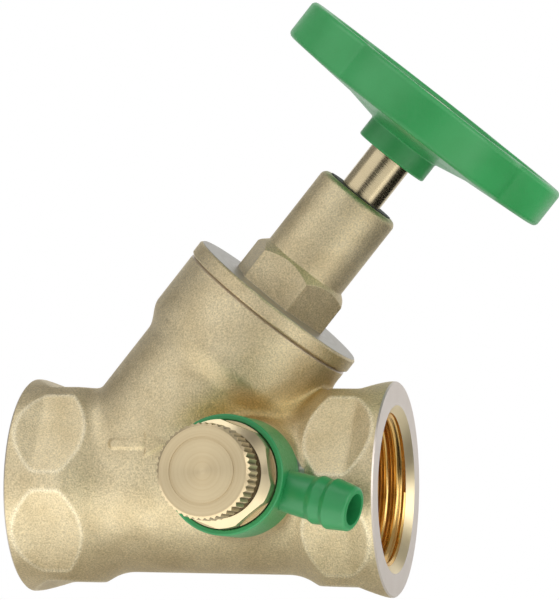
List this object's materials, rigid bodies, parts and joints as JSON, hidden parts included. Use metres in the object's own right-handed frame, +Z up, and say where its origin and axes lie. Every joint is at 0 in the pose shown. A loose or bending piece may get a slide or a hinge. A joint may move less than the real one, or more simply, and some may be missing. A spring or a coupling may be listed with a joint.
{
  "type": "stopcock",
  "caption": "Oblique-seat stop valve with female pipe threads, rising spindle, lobed handwheel, and a side drain valve with knurled knob and swivel hose nozzle.",
  "frame": {"origin": "on the axis of the run, where the thread of the inlet socket starts", "axes": "+X along the run in the direction of flow, +Z up, the stem leans from +Z towards +X and the drain valve faces -Y"},
  "size_m": [0.0917, 0.0689, 0.1027],
  "materials": {
    "cast_brass": "sand-cast and blasted, dull and grainy",
    "turned_brass": "turned, satin to bright",
    "green_plastic": "moulded, semi-gloss",
    "sealing_rubber": "black EPDM",
    "fibre_gasket": "pressed fibre",
    "spring_steel": "stamped"
  },
  "bodies": {
    "valve": {"valve_body": "cast_brass", "bonnet": "turned_brass", "bonnet_o_ring": "sealing_rubber", "spindle_o_ring_lower": "sealing_rubber", "spindle_o_ring_upper": "sealing_rubber", "wiper_ring": "sealing_rubber", "drain_body": "turned_brass", "drain_gasket": "fibre_gasket", "drain_o_ring_inner": "sealing_rubber", "drain_o_ring_outer": "sealing_rubber"},
    "disc": {"disc_holder": "turned_brass", "disc_seal": "sealing_rubber", "disc_washer": "turned_brass", "disc_nut": "turned_brass", "disc_clip": "spring_steel"},
    "wheel_and_spindle": {"spindle": "turned_brass", "handwheel": "green_plastic", "handwheel_washer": "turned_brass", "handwheel_screw": "turned_brass"},
    "drain_tip": {"drain_seal": "sealing_rubber"},
    "drain_screw": {"drain_knob": "turned_brass", "drain_knob_o_ring": "sealing_rubber"},
    "nozzle": {"drain_nozzle": "green_plastic"}
  },
  "joints": [
    {"name": "disc_lift", "type": "slide", "parent": "valve", "child": "disc", "axis": [0.617, 0, 0.7869], "range_m": [-0.008, 0]},
    {"name": "handwheel_turn", "type": "hinge", "parent": "disc", "child": "wheel_and_spindle", "pos_m": [0.0155, 0, 0], "axis": [0.617, 0, 0.7869], "range_deg": [-1440, 0]},
    {"name": "drain_tip_lift", "type": "slide", "parent": "valve", "child": "drain_tip", "axis": [0, -1, 0], "range_m": [0, 0.0025]},
    {"name": "drain_knob_turn", "type": "hinge", "parent": "drain_tip", "child": "drain_screw", "pos_m": [0.0398, 0, 0.001], "axis": [0, -1, 0], "range_deg": [0, 720]},
    {"name": "nozzle_swivel", "type": "hinge", "parent": "valve", "child": "nozzle", "pos_m": [0.0398, 0, 0.001], "axis": [0, -1, 0], "continuous": true}
  ],
  "couplings": [
    {"joint": "disc_lift", "follows": "handwheel_turn", "m_per_rad": 0.0003183},
    {"joint": "drain_tip_lift", "follows": "drain_knob_turn", "m_per_rad": 0.00019894}
  ]
}
